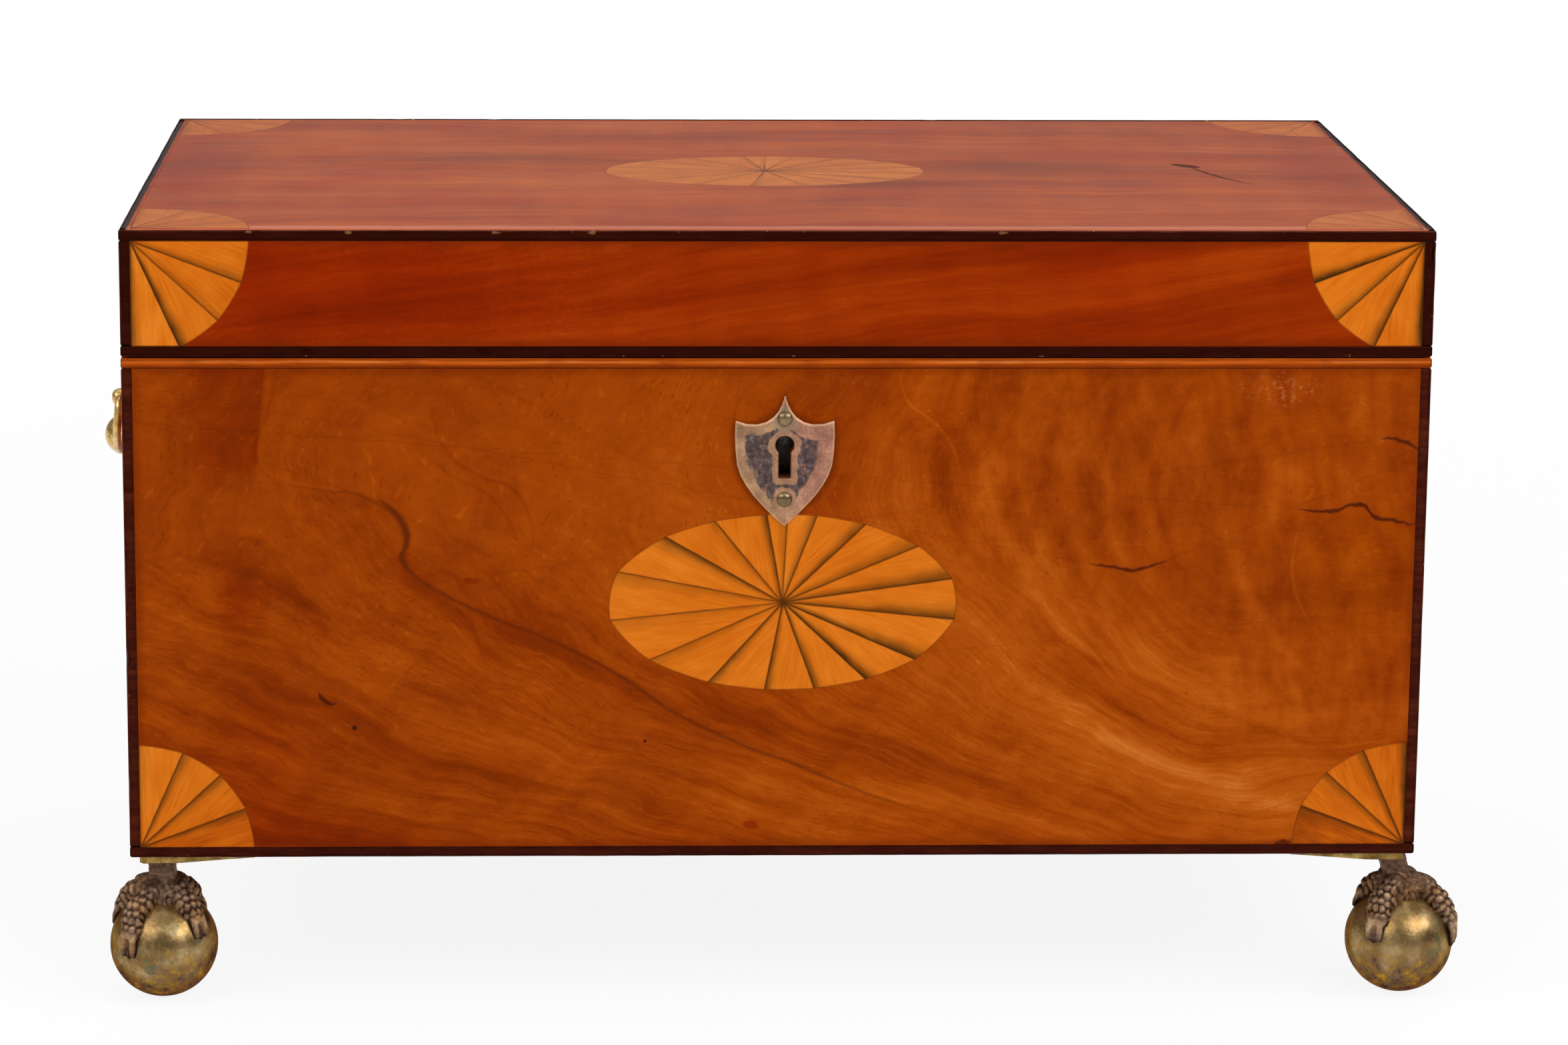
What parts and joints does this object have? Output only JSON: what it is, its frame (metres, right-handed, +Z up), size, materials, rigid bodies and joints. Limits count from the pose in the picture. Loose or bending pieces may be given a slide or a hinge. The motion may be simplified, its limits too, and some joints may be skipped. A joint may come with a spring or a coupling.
{
  "type": "tea caddy",
  "caption": "Antique wooden tea caddy: a veneered box with a hinged lid, fan inlays, a shield keyhole, side handles and brass claw-and-ball feet.",
  "frame": {"origin": "on the floor under the centre of the box, between the four feet", "axes": "+Z up, the front with the keyhole faces -Y, +X to the right of someone who faces the front"},
  "size_m": [0.3248, 0.1794, 0.1841],
  "materials": {
    "case_veneer": "satinwood-toned veneer, french polished, worn",
    "lid_veneer": "red-brown veneer, french polished, worn",
    "edging_wood": "dark stained stringing",
    "light_line_wood": "light wood line",
    "inlay_wood": "sand-shaded light inlay",
    "carcase_wood": "plain mahogany board",
    "inner_wood": "polished mahogany",
    "shield_metal": "old silvered brass, tarnished",
    "foot_brass": "worn, pitted brass",
    "claw_brass": "dark patinated brass",
    "handle_brass": "polished brass, worn",
    "fitting_brass": "aged brass",
    "lock_iron": "old steel",
    "foil": "dull metal foil",
    "baize": "green baize",
    "bowl_glass": "clear glass"
  },
  "bodies": {
    "case": {"bottom_board": "carcase_wood", "front_board": "carcase_wood", "back_board": "carcase_wood", "left_board": "carcase_wood", "right_board": "carcase_wood", "front_veneer": "case_veneer", "back_veneer": "case_veneer", "left_veneer": "case_veneer", "right_veneer": "case_veneer", "case_edging": "edging_wood", "rim_line": "light_line_wood", "front_patera": "inlay_wood", "front_fans": "inlay_wood", "escutcheon": "shield_metal", "escutcheon_pins": "fitting_brass", "lock_case": "lock_iron", "lock_plate": "fitting_brass", "case_screws": "fitting_brass", "hinge_case_leaves": "fitting_brass", "hinge_pins": "fitting_brass", "handle_posts": "handle_brass", "handle_rosettes": "handle_brass", "partitions": "inner_wood", "well_linings": "foil", "inner_lid_supports": "inner_wood", "well_board": "inner_wood", "front_left_ball": "foot_brass", "front_left_claw": "claw_brass", "front_right_ball": "foot_brass", "front_right_claw": "claw_brass", "back_left_ball": "foot_brass", "back_left_claw": "claw_brass", "back_right_ball": "foot_brass", "back_right_claw": "claw_brass"},
    "lid": {"lid_board": "carcase_wood", "lid_front_rail": "carcase_wood", "lid_back_rail": "carcase_wood", "lid_left_rail": "carcase_wood", "lid_right_rail": "carcase_wood", "lid_top_veneer": "lid_veneer", "lid_front_veneer": "lid_veneer", "lid_back_veneer": "lid_veneer", "lid_left_veneer": "lid_veneer", "lid_right_veneer": "lid_veneer", "lid_edging": "edging_wood", "lid_patera": "inlay_wood", "lid_front_fans": "inlay_wood", "lid_top_fans": "inlay_wood", "lid_lining": "baize", "hinge_lid_leaves": "fitting_brass", "link_plate": "fitting_brass", "lid_screws": "fitting_brass"},
    "left_bail": {"left_bail": "handle_brass"},
    "right_bail": {"right_bail": "handle_brass"},
    "lock_bolt": {"lock_bolt": "lock_iron"},
    "left_inner_lid": {"left_inner_lid": "inner_wood", "left_inner_knob": "inner_wood"},
    "right_inner_lid": {"right_inner_lid": "inner_wood", "right_inner_knob": "inner_wood"},
    "mixing_bowl": {"mixing_bowl": "bowl_glass"}
  },
  "joints": [
    {"name": "lid_hinge", "type": "hinge", "parent": "case", "child": "lid", "pos_m": [0, 0.083, 0.15465], "axis": [-1, 0, 0], "range_deg": [0, 95]},
    {"name": "left_bail_hinge", "type": "hinge", "parent": "case", "child": "left_bail", "pos_m": [-0.156, 0, 0.1327], "axis": [0, 1, 0], "range_deg": [0, 170]},
    {"name": "right_bail_hinge", "type": "hinge", "parent": "case", "child": "right_bail", "pos_m": [0.156, 0, 0.1327], "axis": [0, -1, 0], "range_deg": [0, 170]},
    {"name": "lock_bolt_slide", "type": "slide", "parent": "case", "child": "lock_bolt", "axis": [1, 0, 0], "range_m": [0, 0.004]},
    {"name": "left_inner_lid_lift", "type": "slide", "parent": "case", "child": "left_inner_lid", "axis": [0, 0, 1], "range_m": [0, 0.012]},
    {"name": "right_inner_lid_lift", "type": "slide", "parent": "case", "child": "right_inner_lid", "axis": [0, 0, 1], "range_m": [0, 0.012]},
    {"name": "mixing_bowl_lift", "type": "slide", "parent": "case", "child": "mixing_bowl", "axis": [0, 0, 1], "range_m": [0, 0.02]}
  ]
}
